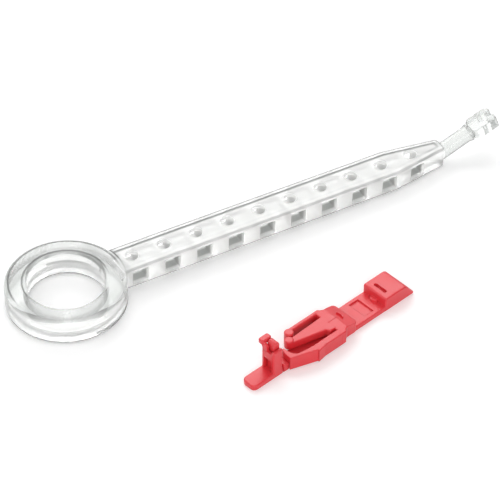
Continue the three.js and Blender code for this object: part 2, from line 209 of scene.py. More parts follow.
# Pocket, thumb block and stud
POCKET_START = 36.0
POCKET_END = 39.0
POCKET_WIDTH = 5.4
POCKET_DEPTH = 0.4
BLOCK_START = 41.9
BLOCK_END = 51.8
BLOCK_TOP_END = 49.2
BLOCK_WIDTH = 7.8
BLOCK_TOP = 4.1
BLOCK_EDGE = 0.4
BLOCK_LIP = 1.3
BLOCK_TIP = 0.45
BLOCK_ROUND = 0.7
BLOCK_BROW_START = 0.9
BLOCK_BROW_END = 0.5
BLOCK_BROW_DROP = 0.8
THUMB_SLOT = 43.5
THUMB_SLOT_LENGTH = 4.0
THUMB_SLOT_WIDTH = 0.9
THUMB_SLOT_DEPTH = 0.7
THUMB_SLOT_CORNER = 0.44
STUD_DIAMETER = 2.2
STUD_TOP = 2.4
STUD_UNDER = 0.5

# Marks on the lock plate
BOW_CENTRE = (28.6, 0.15)
BOW_OUTSIDE = 2.1
BOW_INSIDE = 1.8
BOW_SPAN = 35.0
LINE_ENDS = (26.3, 28.9)
LINE_SIDES = (-0.12, 0.16)
MARK_DEPTH = 0.6
MARK_RISE = 0.06

# Roots of the arms and the tongue, where they bend
ROOT_LAP = 0.8
ROOT_INSET = 0.01

# Camera, as fitted to the photograph
CAMERA_TILT = 42.5
CAMERA_TURN = -29.3
CAMERA_DISTANCE = 647.0
LENS_PIXELS = 2600.0
IMAGE_PIXELS = 500.0
SENSOR = 36.0
RING_FROM_VIEW_RIGHT = -44.6
RING_FROM_VIEW_AWAY = -18.55

ring_low, ring_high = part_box("finger_ring")
RING_CENTRE = Vector((ring_low[0] + RING_OUTSIDE / 2 * MM, (ring_low[1] + ring_high[1]) / 2, 0))


# Shapes, made in millimetres in the frame of the strap or of the clip

def mesh_object(name, points, faces):
    mesh = bpy.data.meshes.new(name)
    mesh.from_pydata([tuple(point) for point in points], [], faces)
    mesh.update()
    made = bpy.data.objects.new(name, mesh)
    bpy.context.collection.objects.link(made)
    return made


def cleaned(made):
    """Joins points that coincide, and turns every face outwards."""
    edit = bmesh.new()
    edit.from_mesh(made.data)
    bmesh.ops.remove_doubles(edit, verts=edit.verts, dist=SAME_POINT)
    bmesh.ops.dissolve_degenerate(edit, edges=edit.edges, dist=SAME_POINT)
    bmesh.ops.recalc_face_normals(edit, faces=edit.faces)
    edit.to_mesh(made.data)
    edit.free()
    return made


def arc(x, y, radius, start, end, steps=8):
    """Points on an arc, its angles in degrees."""
    angles = [math.radians(start + (end - start) * step / steps) for step in range(steps + 1)]
    return [(x + radius * math.cos(a), y + radius * math.sin(a)) for a in angles]


def curve(start, control, end, steps=8):
    """Points on a quadratic curve."""
    points = []
    for step in range(steps + 1):
        t = step / steps
        points.append(tuple(
            (1 - t) ** 2 * a + 2 * t * (1 - t) * b + t * t * c
            for a, b, c in zip(start, control, end)
        ))
    return points


def rounded_plan(x0, x1, half, corner, steps=8):
    return (
        arc(x1 - corner, corner - half, corner, -90, 0, steps)
        + arc(x1 - corner, half - corner, corner, 0, 90, steps)
        + arc(x0 + corner, half - corner, corner, 90, 180, steps)
        + arc(x0 + corner, corner - half, corner, 180, 270, steps)
    )


def without_repeats(points):
    kept = []
    for point in points:
        if not kept or math.dist(point, kept[-1]) > REPEATED_POINT:
            kept.append(point)
    if math.dist(kept[0], kept[-1]) < REPEATED_POINT:
        kept.pop()
    return kept


def area_of(points):
    return sum(a[0] * b[1] - b[0] * a[1] for a, b in zip(points, points[1:] + points[:1])) / 2


def drawn_in(points, distance):
    """A counter-clockwise outline moved inwards by this distance."""
    moved = []
    count = len(points)
    for at in range(count):
        before, here, after = points[at - 1], points[at], points[(at + 1) % count]
        normals = []
        for a, b in ((before, here), (here, after)):
            length = math.dist(a, b)
            normals.append(((a[1] - b[1]) / length, (b[0] - a[0]) / length))
        (ax, ay), (bx, by) = normals
        scale = distance / max(1 + ax * bx + ay * by, SHARPEST_CORNER)
        moved.append((here[0] + (ax + bx) * scale, here[1] + (ay + by) * scale))
    return moved


def raised(name, points, z0, z1, edge=0.0, steps=4, under=None):
    """An outline raised from z0 to z1, its top edge rounded by edge and its bottom by under."""
    under = edge if under is None else under
    points = without_repeats(points)
    if area_of(points) < 0:
        points.reverse()
    levels = []
    for size, z, rising in ((under, z0, True), (edge, z1, False)):
        turns = range(steps + 1) if size else [steps]
        level = []
        for step in turns:
            angle = math.radians(90 * step / steps)
            inset = size * (1 - math.sin(angle))
            height = size * (1 - math.cos(angle))
            level.append((inset, z + height if rising else z - height))
        levels += level if rising else level[::-1]
    count = len(points)
    vertices, faces = [], []
    for inset, z in levels:
        vertices += [(x, y, z) for x, y in (drawn_in(points, inset) if inset else points)]
    for level in range(len(levels) - 1):
        for at in range(count):
            a, b = level * count + at, level * count + (at + 1) % count
            faces.append((a, b, b + count, a + count))
    faces.append(tuple(range(count - 1, -1, -1)))
    faces.append(tuple(range((len(levels) - 1) * count, len(levels) * count)))
    return cleaned(mesh_object(name, vertices, faces))


def block(name, x0, x1, y0, y1, z0, z1):
    return raised(name, [(x0, y0), (x1, y0), (x1, y1), (x0, y1)], z0, z1)


def lathe(name, profile, steps=64, closed=False):
    """A profile of (radius, z) turned about the z axis. An open profile starts and ends on the axis."""
    vertices, faces = [], []
    for step in range(steps):
        a = 2 * math.pi * step / steps
        vertices += [(r * math.cos(a), r * math.sin(a), z) for r, z in profile]
    count = len(profile)
    last = count if closed else count - 1
    for step in range(steps):
        here, after = step * count, (step + 1) % steps * count
        for at in range(last):
            up = (at + 1) % count
            faces.append((here + at, after + at, after + up, here + up))
    return cleaned(mesh_object(name, vertices, faces))


def baked(made):
    """The object with its modifiers applied."""
    graph = bpy.context.evaluated_depsgraph_get()
    mesh = bpy.data.meshes.new_from_object(made.evaluated_get(graph))
    made.modifiers.clear()
    old, made.data = made.data, mesh
    bpy.data.meshes.remove(old)
    return made


def combined(made, other, operation):
    """A boolean of two closed shapes. The second one is used up."""
    step = made.modifiers.new("boolean", "BOOLEAN")
    step.operation = operation
    step.solver = "EXACT"
    step.object = other
    baked(made)
    bpy.data.objects.remove(other)
    return made


def joined(made, *others):
    for other in others:
        combined(made, other, "UNION")
    return made


def cut(made, *others):
    for other in others:
        combined(made, other, "DIFFERENCE")
    return made


def moved(made, matrix):
    made.data.transform(matrix)
    return made


def extruded_across(name, points, y0, y1, edge=0.0, steps=4):
    """An outline in x and z, extruded along y."""
    made = raised(name, [(x, -z) for x, z in points], y0, y1, edge, steps)
    return cleaned(moved(made, Matrix.Rotation(math.radians(-90), 4, "X")))


def finished(made, matrix, material, sharp=32.0):
    """Puts a shape in its place in the scene, smooth where it is rounded, in its material."""
    moved(made, matrix)
    mesh = made.data
    mesh.shade_smooth()
    mesh.set_sharp_from_angle(angle=math.radians(sharp))
    weights = made.modifiers.new("weights", "WEIGHTED_NORMAL")
    weights.keep_sharp = True
    baked(made)
    made.data.materials.clear()
    made.data.materials.append(material)
    return made


# Clear strap

SLOPE = math.atan2(STRAP_DROOP, STRAP_LENGTH - RING_OUTSIDE / 2)
ROW = Matrix.Scale(MM, 4)
ROW.translation = RING_CENTRE
STRAP_FRAME = (
    ROW
    @ Matrix.Translation((RING_OUTSIDE / 2, 0, RING_HEIGHT))
    @ Matrix.Rotation(SLOPE, 4, "Y")
    @ Matrix.Translation((-RING_OUTSIDE / 2, 0, 0))
)
STEM_FRAME = Matrix.Translation((STRAP_LENGTH, 0, -STRAP_DEPTH / 2)) @ Matrix.Rotation(
    -math.radians(STEM_RISE), 4, "Y"
)
ALONG = Matrix.Rotation(math.radians(90), 4, "Y")


def window_place(index):
    return FIRST_WINDOW + index * WINDOW_PITCH


def strap_moulding():
    """The tapered strap with its row of windows, and a hole with a rounded lip over each."""
    half, end = STRAP_WIDTH / 2, TAPER_END_WIDTH / 2
    corner = STRAP_CORNER
    start = RING_BORE / 2 + STRAP_ROOT
    plan = [(start, -half), (TAPER_START, -half)]
    plan += curve((STRAP_LENGTH - corner, -end), (STRAP_LENGTH, -end), (STRAP_LENGTH, corner - end))
    plan += curve((STRAP_LENGTH, end - corner), (STRAP_LENGTH, end), (STRAP_LENGTH - corner, end))
    plan += [(TAPER_START, half), (start, half)]
    strap = raised("strap", plan, -STRAP_DEPTH, 0, STRAP_EDGE, 6)
    for index in range(WINDOW_COUNT):
        x = window_place(index)
        reach = half + OVERRUN
        opening = [(a, b - STRAP_DEPTH / 2) for a, b in rounded_plan(
            x - WINDOW_LENGTH / 2, x + WINDOW_LENGTH / 2, STRAP_DEPTH / 2 - STRAP_SKIN, WINDOW_ROUND, 4
        )]
        cut(strap, extruded_across("window", opening, -reach, reach))
        radius = HOLE_BORE / 2
        lip = [(radius + HOLE_LIP - a, b) for a, b in arc(0, -HOLE_LIP, HOLE_LIP, 0, 90, 4)]
        profile = [(0, -STRAP_DEPTH / 2), (radius, -STRAP_DEPTH / 2)] + lip
        profile += [(radius + HOLE_LIP, OVERRUN), (0, OVERRUN)]
        cut(strap, moved(lathe("hole", profile, 40), Matrix.Translation((x, 0, 0))))
    return strap


def finger_ring():
    """A ring with rounded rims, standing on z = 0."""
    inner, outer = RING_BORE / 2, RING_OUTSIDE / 2
    profile = []
    for x, z, start in (
        (outer - RING_EDGE, RING_EDGE, -90),
        (outer - RING_EDGE, RING_HEIGHT - RING_EDGE, 0),
        (inner + RING_EDGE, RING_HEIGHT - RING_EDGE, 90),
        (inner + RING_EDGE, RING_EDGE, 180),
    ):
        profile += arc(x, z, RING_EDGE, start, start + 90, 8)
    return lathe("ring", profile, 144, closed=True)


def pull_tail():
    """Stem with its flared collar, and the flat forked grip, in the frame of the stem."""
    radius = STEM_DIAMETER / 2
    collar = COLLAR_DIAMETER / 2
    lip, spigot = COLLAR_LIP, SPIGOT_DIAMETER / 2
    profile = [(0, -STEM_ROOT), (radius, -STEM_ROOT), (radius, STEM_LENGTH - COLLAR_LENGTH)]
    profile += [(collar, STEM_LENGTH - lip)]
    profile += arc(collar - lip, STEM_LENGTH - lip, lip, 0, 90, 3)
    spigot_end = STEM_LENGTH + SPIGOT_LENGTH
    profile += [(spigot, STEM_LENGTH), (spigot, spigot_end), (0, spigot_end)]
    stem = moved(lathe("stem", profile, 48), ALONG)
    start = STEM_LENGTH + GRIP_GAP
    end = STEM_LENGTH + GRIP_LENGTH
    neck, half = GRIP_NECK_WIDTH / 2, GRIP_WIDTH / 2
    fork = FORK_WIDTH / 2
    tip, root = FORK_TIP, end - FORK_DEPTH
    shape = [(start, -neck), (start + half - neck, -half)]
    shape += arc(end - GRIP_EDGE, GRIP_EDGE - half, GRIP_EDGE, -90, 0, 5)
    shape += arc(end - tip, -fork - tip, tip, 0, 60, 3)
    shape += curve((root + tip, -tip), (root, 0), (root + tip, tip), 4)
    shape += arc(end - tip, fork + tip, tip, -60, 0, 3)
    shape += arc(end - GRIP_CORNER, half - GRIP_CORNER, GRIP_CORNER, 20, 90, 6)
    shape += [(start + half - neck, half), (start, neck)]
    grip = raised("grip", shape, -GRIP_DEPTH / 2, GRIP_DEPTH / 2, FINE_EDGE, 4)
    eye = lathe("eye", [(0, -OVERRUN), (EYE_BORE / 2, -OVERRUN), (EYE_BORE / 2, OVERRUN), (0, OVERRUN)], 24)
    cut(grip, moved(eye, Matrix.Translation((end - EYE_SETBACK, half / 2, 0))))
    return joined(stem, grip)


def stretch(source, name, start, end, bends):
    """The part of a moulding between two planes across it, left open there, with lines where it bends."""
    made = bpy.data.objects.new(name, source.data.copy())
    bpy.context.collection.objects.link(made)
    edit = bmesh.new()
    edit.from_mesh(made.data)
    for x, outer in ((start, False), (end, True)):
        if x is not None:
            bmesh.ops.bisect_plane(
                edit, geom=edit.verts[:] + edit.edges[:] + edit.faces[:], dist=REPEATED_POINT,
                plane_co=(x, 0, 0), plane_no=(1, 0, 0), clear_outer=outer, clear_inner=not outer,
            )
    for x in bends:
        bmesh.ops.bisect_plane(
            edit, geom=edit.verts[:] + edit.edges[:] + edit.faces[:], dist=REPEATED_POINT,
            plane_co=(x, 0, 0), plane_no=(1, 0, 0),
        )
    edit.to_mesh(made.data)
    edit.free()
    made.data.name = name
    return made


def marked(made, frosted_and_lit):
    """Keeps each point's place in the moulding for the material, and gives the windows and holes inside the
    frosted material with its painted light and shade.
    """
    made.data.materials.append(frosted_and_lit)
    back = STRAP_FRAME.inverted()
    moulded = made.data.attributes.new("moulded", "FLOAT_VECTOR", "POINT")
    for at, vertex in enumerate(made.data.vertices):
        moulded.data[at].vector = back @ vertex.co
    for face in made.data.polygons:
        place = back @ face.center
        along, _, rise = (back.to_3x3() @ face.normal).normalized()
        window = round((place.x - FIRST_WINDOW) / WINDOW_PITCH)
        from_hole = math.hypot(place.x - window_place(window), place.y)
        near_hole = from_hole < HOLE_BORE / 2 + HOLE_LIP and place.z > -STRAP_SKIN - HOLE_MARGIN
        in_hole = near_hole and abs(rise) < LEVEL_COSINE
        on_floor = rise > FACING_COSINE and abs(place.z + STRAP_DEPTH - STRAP_SKIN) < WINDOW_FLOOR_MARGIN
        on_strut = along < -FACING_COSINE and -STRAP_DEPTH + STRAP_SKIN < place.z < -STRAP_SKIN
        if 0 <= window < WINDOW_COUNT and (in_hole or on_floor or on_strut):
            face.material_index = 1


def clear_strap(material, frosted_and_lit):
    """The whole moulding, in pieces that each hold one window with extra lines across it, and a last one
    with the tail.
    """
    strap = strap_moulding()
    ring = moved(finger_ring(), STRAP_FRAME.inverted() @ ROW)
    joined(strap, ring)
    joined(strap, moved(pull_tail(), STEM_FRAME))
    half_pitch = WINDOW_PITCH / 2
    half_window = WINDOW_LENGTH / 2
    nodes = ["finger_ring"] + [f"strap_link_{n:02d}" for n in range(1, WINDOW_COUNT)] + ["strap_end"]
    for index in range(WINDOW_COUNT):
        x = window_place(index)
        start = None if index == 0 else x - half_pitch
        end = END_CUT if index == WINDOW_COUNT - 1 else x + half_pitch
        bends = [x - half_window + WINDOW_LENGTH * n / (BEND_LINES + 1) for n in range(1, BEND_LINES + 1)]
        name = "ring_and_strap_root" if index == 0 else f"strap_stretch_{index:02d}"
        made = finished(stretch(strap, name, start, end, bends), STRAP_FRAME, material)
        marked(made, frosted_and_lit)
        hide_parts(nodes[index], nodes[index + 1])
        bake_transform(made)
    tail = finished(stretch(strap, "strap_end_and_tail", END_CUT, None, []), STRAP_FRAME, material)
    marked(tail, frosted_and_lit)
    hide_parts("strap_end", "pull_stem", "pull_grip")
    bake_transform(tail)
    bpy.data.objects.remove(strap)


# Red clip

CLIP_FRAME = ROW @ Matrix.Translation((*CLIP_PLACE, 0)) @ Matrix.Rotation(
    math.radians(CLIP_TURN), 4, "Z"
)


def bar_channel(width, top):
    """What is cut away so that the bar can slide, for a bar of this width and height."""
    half = width / 2 + BAR_CLEARANCE
    return block("channel", -OVERRUN, STRIP_START, -half, half, -OVERRUN, top + BAR_CLEARANCE)


def knuckle(x, y, diameter, under):
    plan = arc(x, y, diameter / 2, 0, 360, 32)
    return raised("knuckle", plan, under, PLATE_TOP + KNUCKLE_RISE, CLIP_EDGE, 4)


def clip_body():
    """The strip with its pocket, thumb block and stud, and the lock plate over the tail of the bar."""
    rear, corner = PLATE_REAR_HALF, PLATE_REAR_CORNER
    middle = (WAIST_START + WAIST_END) / 2
    plan = [(PLATE_FRONT, -PLATE_HALF)]
    plan += curve((WAIST_START, -PLATE_HALF), (middle, -rear), (WAIST_END, -rear))
    plan += arc(PLATE_END - corner, corner - rear, corner, -90, 0)
    plan += arc(PLATE_END - corner, rear - corner, corner, 0, 90)
    plan += curve((WAIST_END, rear), (middle, rear), (WAIST_START, PLATE_HALF))
    plan += [(PLATE_FRONT, PLATE_HALF)]
    plate = raised("plate", plan, PLATE_UNDER, PLATE_TOP, CLIP_EDGE, 4)
    wide, past, above = PLATE_HALF + OVERRUN, PLATE_END + OVERRUN, PLATE_TOP + OVERRUN
    lead = WAIST_END - SLOPE_LEAD
    slope = [(lead, PLATE_TOP + SLOPE_LEAD_RISE), (PLATE_END, PLATE_REAR_TOP), (past, PLATE_REAR_TOP)]
    slope += [(past, above), (lead, above)]
    cut(plate, bar_channel(BAR_TAIL_WIDTH, BAR_THICKNESS), extruded_across("slope", slope, -wide, wide))
    strip_plan = rounded_plan(STRIP_START, BLOCK_END - BLOCK_LIP, STRIP_WIDTH / 2, STRIP_CORNER)
    strip = raised("strip", strip_plan, 0, STRIP_THICKNESS, FINE_EDGE, 4)
    wedge = [(BLOCK_START, 0.0)]
    wedge += arc(BLOCK_END - BLOCK_TIP, BLOCK_TIP, BLOCK_TIP, -90, 30, 6)
    wedge += curve((BLOCK_TOP_END + BLOCK_BROW_END, BLOCK_TOP - BLOCK_BROW_DROP), (BLOCK_TOP_END, BLOCK_TOP),
                   (BLOCK_TOP_END - BLOCK_BROW_START, BLOCK_TOP), 6)
    wedge += curve((BLOCK_START + BLOCK_ROUND, BLOCK_TOP), (BLOCK_START, BLOCK_TOP),
                   (BLOCK_START, BLOCK_TOP - BLOCK_ROUND), 6)
    thumb = extruded_across("thumb", wedge, -BLOCK_WIDTH / 2, BLOCK_WIDTH / 2, BLOCK_EDGE, 6)
    length, half = THUMB_SLOT_LENGTH, THUMB_SLOT_WIDTH / 2
    slot_plan = rounded_plan(-length / 2, length / 2, half, THUMB_SLOT_CORNER)
    slot = raised("slot", slot_plan, BLOCK_TOP - THUMB_SLOT_DEPTH, BLOCK_TOP + OVERRUN)
    moved(slot, Matrix.Translation((THUMB_SLOT + half, 0, 0)) @ Matrix.Rotation(math.radians(90), 4, "Z"))
    pocket = block("pocket", POCKET_START, POCKET_END, -POCKET_WIDTH / 2, POCKET_WIDTH / 2,
                   STRIP_THICKNESS - POCKET_DEPTH, STRIP_THICKNESS + OVERRUN)
    stud_plan = arc(BLOCK_START, 0, STUD_DIAMETER / 2, 0, 360, 32)
    stud = raised("stud", stud_plan, STUD_UNDER, STUD_TOP, FINE_EDGE, 4)
    cut(strip, pocket)
    joined(strip, thumb, stud)
    cut(strip, slot)
    return joined(strip, plate)


def marks():
    """A short arc and a line, slightly raised on the lock plate."""
    (front, rear), (near, far) = LINE_ENDS, LINE_SIDES
    bow = arc(*BOW_CENTRE, BOW_OUTSIDE, BOW_SPAN, -BOW_SPAN, 12)
    bow += arc(*BOW_CENTRE, BOW_INSIDE, -BOW_SPAN, BOW_SPAN, 12)
    line = [(front, near), (rear, near), (rear, far), (front, far)]
    low, high = PLATE_TOP - MARK_DEPTH, PLATE_TOP + MARK_RISE
    outlines = {"bow": bow, "line": line}
    return [raised(name, outline, low, high, MARK_RISE / 2, 2) for name, outline in outlines.items()]


def far_arm():
    """A straight sprung arm with a round knuckle at its tip."""
    radius = FAR_KNUCKLE / 2
    outer, inner = PLATE_HALF - ROOT_INSET, PLATE_HALF - FAR_ARM_WIDTH
    root = PLATE_FRONT + ROOT_LAP
    shape = [(root, outer), (FAR_TIP + radius, outer), (FAR_TIP + radius, inner), (root, inner)]
    arm = raised("far_arm", shape, PLATE_UNDER, PLATE_TOP - ROOT_INSET, CLIP_EDGE, 4)
    return joined(arm, knuckle(FAR_TIP + radius, outer - radius, FAR_KNUCKLE, PLATE_UNDER))


def near_arm():
    """A sprung arm that leans in from its knee and ends in a toe."""
    outer, inner = ROOT_INSET - PLATE_HALF, NEAR_ARM_WIDTH - PLATE_HALF
    root = PLATE_FRONT + ROOT_LAP
    toe_root, tip = NEAR_TIP + TOE_ROOT_LENGTH, NEAR_TIP + TOE_LEAN
    rib = (NEAR_KNEE + RIB_LENGTH, outer)
    rib_bend = (NEAR_KNEE + RIB_BEND_LENGTH, outer - RIB_BEND_HEIGHT)
    shape = [(root, outer)] + curve(rib, rib_bend, (NEAR_KNEE, outer - RIB_HEIGHT), 6)
    shape += [(NEAR_KNEE, outer), (NEAR_TIP, -NEAR_TIP_HALF)]
    shape += curve((NEAR_TIP, -NEAR_TIP_HALF), (NEAR_TIP, 0), (tip, TOE_REACH))
    shape += curve((tip + TOE_TIP_WIDTH, TOE_REACH), (tip + TOE_TIP_WIDTH, inner + RIB_HEIGHT),
                   (toe_root, inner + RIB_HEIGHT))
    shape += [(NEAR_KNEE, inner), (root, inner)]
    arm = raised("near_arm", shape, PLATE_UNDER, PLATE_TOP - ROOT_INSET, FINE_EDGE, 4)
    return cut(arm, bar_channel(BAR_WIDTH, FOOT_TOP))


def tongue():
    """The sprung tongue over the bar, with a round knuckle at its tip."""
    far = PLATE_HALF - FAR_ARM_WIDTH - FAR_SLOT_WIDTH
    near = NEAR_ARM_WIDTH + NEAR_SLOT_WIDTH - PLATE_HALF
    radius = TONGUE_KNUCKLE / 2
    root = PLATE_FRONT + ROOT_LAP
    under = BAR_THICKNESS + BAR_CLEARANCE
    shape = [(root, far), (TONGUE_TIP + radius, TONGUE_OFFSET + TONGUE_NECK / 2)]
    shape += [(TONGUE_TIP + radius, TONGUE_OFFSET - radius), (TONGUE_STEP, near + TONGUE_STEP_DEPTH)]
    shape += [(TONGUE_STEP + TONGUE_STEP_DEPTH / 2, near), (root, near)]
    made = raised("tongue", shape, under, PLATE_TOP - ROOT_INSET, FINE_EDGE, 4)
    return joined(made, knuckle(TONGUE_TIP + radius, TONGUE_OFFSET, TONGUE_KNUCKLE, under))


def draw_bar():
    """The sliding bar with its foot, grooves and tail, and the upright housing with its tunnel."""
    half = BAR_WIDTH / 2
    inside = half - HOUSING_WALL
    foot_start = HOUSING_END + GROOVE_WIDTH
    made = raised("bar", rounded_plan(0, FOOT_END, half, BAR_CORNER, 10), 0, BAR_THICKNESS, CLIP_EDGE, 4)
    for name, x0, x1, side, low, high in (
        ("foot", foot_start, FOOT_END, half, 0, FOOT_TOP),
        ("bar_tail", foot_start, BAR_LENGTH, BAR_TAIL_WIDTH / 2, 0, BAR_THICKNESS),
        ("tower", HOUSING_START, HOUSING_END, half, BAR_THICKNESS / 2, HOUSING_TOP),
    ):
        joined(made, raised(name, rounded_plan(x0, x1, side, FOOT_CORNER), low, high, FINE_EDGE, 4))
    reach, top = half + OVERRUN, HOUSING_TOP + OVERRUN
    start = HOUSING_START - OVERRUN
    for limits in (
        (HOUSING_START + HOUSING_WALL, foot_start, -inside, inside, BAR_THICKNESS, top),
        (start, foot_start, -TUNNEL_WIDTH / 2, TUNNEL_WIDTH / 2, BAR_THICKNESS, TUNNEL_TOP),
        (start, foot_start, -inside, reach, HOUSING_SILL, top),
        (HOUSING_END, foot_start, half - GROOVE_DEPTH, reach, -OVERRUN, top),
        (HOUSING_END, foot_start, -reach, GROOVE_DEPTH - half, -OVERRUN, top),
    ):
        cut(made, block("opening", *limits))
    return made


def lock_tooth():
    """A round-headed tooth in the housing's well."""
    start = HOUSING_START + HOUSING_WALL + TOOTH_GAP
    half = BAR_WIDTH / 2 - HOUSING_WALL - TOOTH_SIDE_GAP
    foot, head = BAR_THICKNESS - TOOTH_SINK, TOOTH_LENGTH / 2
    shape = [(start, foot), (start + TOOTH_LENGTH, foot)]
    shape += arc(start + head, TOOTH_TOP - head, head, 0, 180, 20)
    return extruded_across("tooth", shape, -half, half, TOOTH_EDGE, 4)


def catch_hook():
    """A cross bar on a sprung neck that rises from the housing's sill."""
    under = HOOK_TOP - HOOK_THICKNESS
    start = HOUSING_START - HOOK_OVERHANG
    half = HOOK_BAR_WIDTH / 2
    bar_plan = rounded_plan(start, start + HOOK_BAR_LENGTH, half, half * HOOK_ROUND_SHARE)
    bar = raised("hook", bar_plan, under, HOOK_TOP, CLIP_EDGE, 5)
    moved(bar, Matrix.Translation((0, HOOK_BAR_OFFSET, 0)))
    foot, top = HOUSING_SILL - HOOK_NECK_SINK, HOOK_TOP - HOOK_NECK_DROP
    near, far = HOOK_NECK_OFFSET, HOOK_NECK_OFFSET + HOOK_NECK_WIDTH
    bar_side = HOOK_BAR_OFFSET
    shape = [(near, foot), (far, foot), (bar_side, under), (bar_side, top), (far, top), (near, under)]
    neck = raised("neck", shape, 0, HOUSING_WALL, HOOK_NECK_EDGE, 3)
    turn = Matrix(((0, 0, 1, HOUSING_START), (1, 0, 0, 0), (0, 1, 0, 0), (0, 0, 0, 1)))
    return joined(bar, moved(neck, turn))


def red_clip(material):
    roots = {
        "far_arm": PLATE_HALF - FAR_ARM_WIDTH / 2,
        "near_arm": NEAR_ARM_WIDTH / 2 - PLATE_HALF,
        "tongue": 0.0,
    }
    pieces = [
        ("clip_body", clip_body(), "clip", ["clip_frame", "lock_plate"]),
        ("far_arm_piece", far_arm(), "far_arm", ["far_jaw_arm"]),
        ("near_arm_piece", near_arm(), "near_arm", ["near_jaw_arm"]),
        ("tongue_piece", tongue(), "tongue", ["lock_tongue"]),
        ("draw_bar_piece", draw_bar(), "draw", ["draw_bar"]),
        ("lock_tooth_piece", lock_tooth(), "draw", ["lock_tooth"]),
        ("catch_hook_piece", catch_hook(), "hook", ["catch_hook"]),
    ]
    for name, made, body, nodes in pieces:
        made.name = name
        made.data.name = name
        finished(made, CLIP_FRAME, material)
        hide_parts(*nodes)
        if body in roots:
            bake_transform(made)
        else:
            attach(made, body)
    for made in marks():
        finished(made, CLIP_FRAME, material)
        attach(made, "clip")


# Node recipes

def opaque(colour):
    return (*colour, 1.0)


class Recipe:
    """Adds nodes to a node tree, each fed by numbers, by colours or by other nodes' outputs."""

    def __init__(self, tree):
        self.nodes, self.links = tree.nodes, tree.links

    def feed(self, socket, value):
        if isinstance(value, bpy.types.NodeSocket):
            self.links.new(value, socket)
        else:
            socket.default_value = value

    def fill(self, node, **values):
        """Feeds a node's sockets by name, with an underscore for each space in the name."""
        for name, value in values.items():
            self.feed(node.inputs[name.replace("_", " ")], value)
        return node

    def add(self, kind, **values):
        return self.fill(self.nodes.new(kind), **values)

    def maths(self, operation, *values):
        node = self.nodes.new("ShaderNodeMath")
        node.operation = operation
        for socket, value in zip(node.inputs, values):
            self.feed(socket, value)
        return node.outputs[0]

    def product(self, value, *others):
        for other in others:
            value = self.maths("MULTIPLY", value, other)
        return value

    def spread(self, value, low, high, to_low=0.0, to_high=1.0):
        """Eases from one number to another while the value goes from low to high."""
        node = self.nodes.new("ShaderNodeMapRange")
        node.interpolation_type = "SMOOTHSTEP"
        self.fill(node, Value=value, From_Min=low, From_Max=high, To_Min=to_low, To_Max=to_high)
        return node.outputs["Result"]

    def choose(self, factor, low, high, kind="FLOAT"):
        """Mixes two numbers, or two colours where the kind is RGBA."""
        node = self.nodes.new("ShaderNodeMix")
        node.data_type = kind
        self.fill(node, Factor=factor, A=low, B=high)
        return node.outputs["Result"]

    def ramp(self, value, stops):
        """The level read at a place between stops of (place, level)."""
        node = self.add("ShaderNodeValToRGB", Fac=value)
        places = node.color_ramp.elements
        places.remove(places[1])
        places[0].position = stops[0][0]
        places[0].color = opaque((stops[0][1],) * 3)
        for at, level in stops[1:]:
            places.new(at).color = opaque((level,) * 3)
        return node.outputs["Color"]

    def noise(self, place, scale, detail=2.0):
        return self.add("ShaderNodeTexNoise", Vector=place, Scale=scale, Detail=detail).outputs["Fac"]

    def relief(self, height, strength, distance, **normal):
        bump = self.add("ShaderNodeBump", Height=height, Strength=strength, Distance=distance, **normal)
        return bump.outputs["Normal"]


# Camera, light and floor

NEAREST_SEEN = 10.0
WORLD_FILL = 0.5
ROOM_HORIZON = 0.2
ROOM_DARK_TO = 0.02
ROOM_BRIGHT_FROM = 0.55
FLOOR_SIZE = 3000.0
FLOOR_DROP = 0.02
FLOOR_ALBEDO = 0.86
FLOOR_LIFT = 0.22
FLOOR_SEEN_THROUGH = 0.5

# Each lamp's place (to the right, away and up from the target) and size, in metres, and its radiance
LAMPS = {
    "back softbox": ((-0.1, 0.55, 0.55), (0.7, 0.5), 3.1),
    "left softbox": ((-0.7, -0.1, 0.5), (0.5, 0.5), 1.3),
    "front fill": ((0.2, -0.8, 0.45), (0.9, 0.5), 2.8),
}


def turned(angle):
    """The view's right and away directions on the floor, for a camera turned by this angle."""
    a = math.radians(angle)
    return Vector((math.cos(a), math.sin(a), 0)), Vector((-math.sin(a), math.cos(a), 0))


def make_camera():
    right, away = turned(CAMERA_TURN)
    target = RING_CENTRE - (right * RING_FROM_VIEW_RIGHT + away * RING_FROM_VIEW_AWAY) * MM
    tilt = math.radians(CAMERA_TILT)
    back = -away * math.cos(tilt) + Vector((0, 0, math.sin(tilt)))
    camera = bpy.data.objects.new("Camera", bpy.data.cameras.new("Camera"))
    bpy.context.collection.objects.link(camera)
    camera.data.sensor_width = SENSOR
    camera.data.lens = LENS_PIXELS / IMAGE_PIXELS * SENSOR
    camera.data.clip_start = NEAREST_SEEN * MM
    camera.location = target + back * CAMERA_DISTANCE * MM
    camera.rotation_euler = (-back).to_track_quat("-Z", "Y").to_euler()
    bpy.context.scene.camera = camera
    return target


def make_lights(target):
    """Rectangular soft boxes that face the target, each as bright as its radiance whatever its size."""
    right, away = turned(CAMERA_TURN)
    for name, (place, size, radiance) in LAMPS.items():
        data = bpy.data.lights.new(name, "AREA")
        data.shape = "RECTANGLE"
        data.size, data.size_y = size
        data.energy = radiance * math.pi * size[0] * size[1]
        light = bpy.data.objects.new(name, data)
        bpy.context.collection.objects.link(light)
        offset = right * place[0] + away * place[1] + Vector((0, 0, place[2]))
        light.location = target + offset
        light.rotation_euler = (-offset).to_track_quat("-Z", "Y").to_euler()


